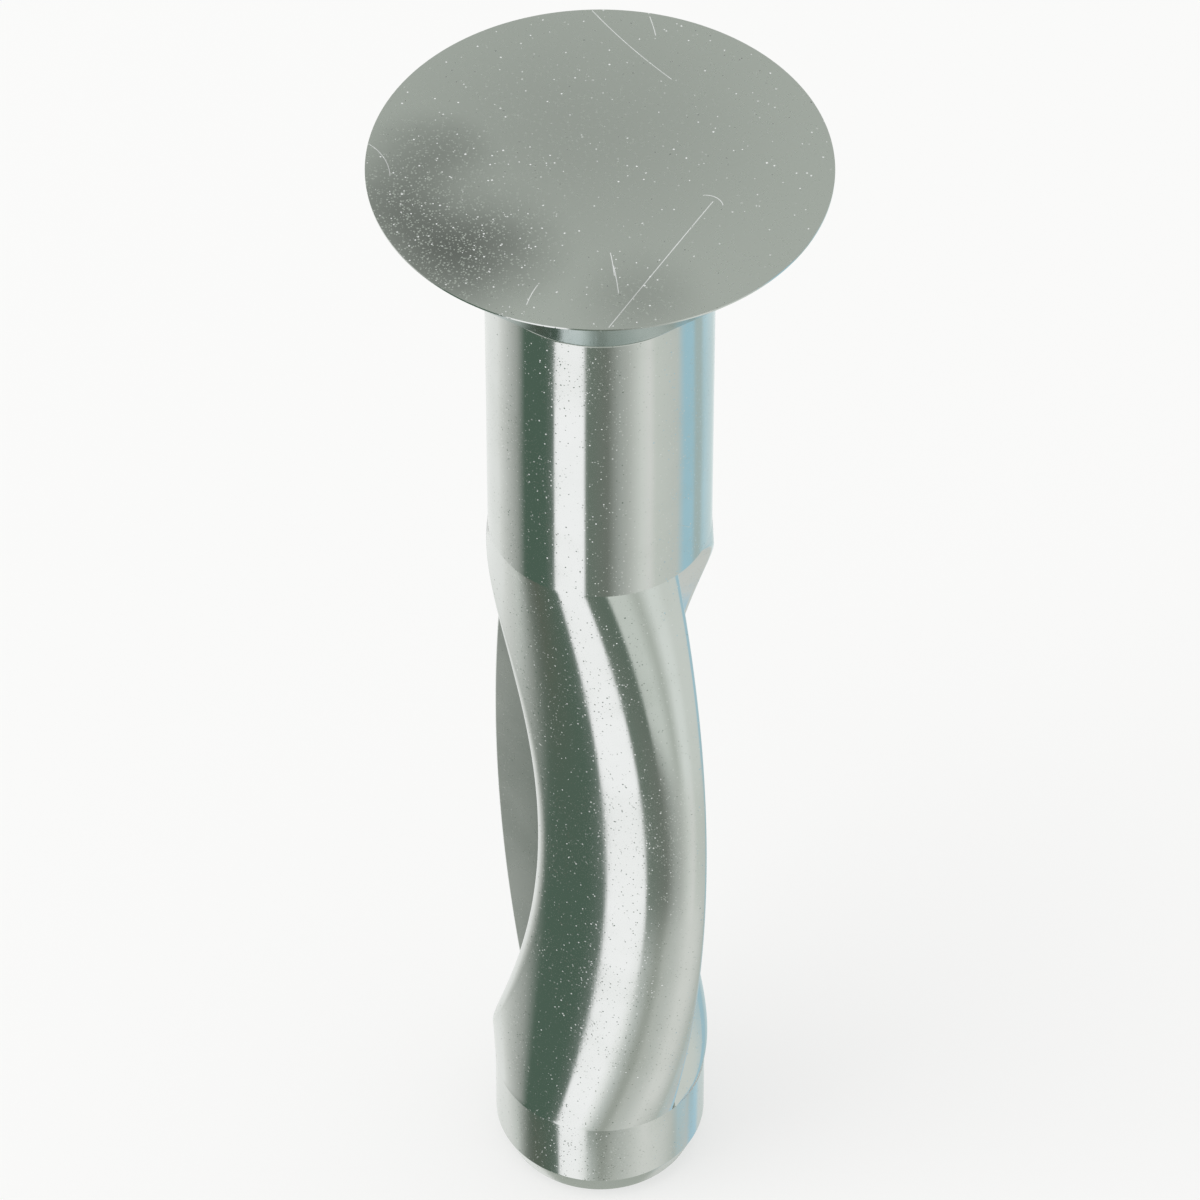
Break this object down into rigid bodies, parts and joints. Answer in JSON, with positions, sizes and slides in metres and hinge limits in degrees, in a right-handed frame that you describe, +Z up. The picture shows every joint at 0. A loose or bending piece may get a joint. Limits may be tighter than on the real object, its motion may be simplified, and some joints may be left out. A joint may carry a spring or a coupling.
{
  "type": "split-drive anchor",
  "caption": "Countersunk flat-head drive anchor with a lengthwise split shank, whose half-round legs bow sideways to grip the wall of a drilled hole.",
  "frame": {"origin": "centre of the flat end of the tip", "axes": "+Z up along the shank towards the head; the split lies in the XZ plane; the leg on the -Y side bows towards +X and the leg on the +Y side towards -X"},
  "size_m": [0.0126, 0.0126, 0.0398],
  "materials": {
    "zinc_steel": "clear zinc plating, semi-bright"
  },
  "bodies": {
    "root": {"anchor": "zinc_steel"}
  },
  "joints": []
}
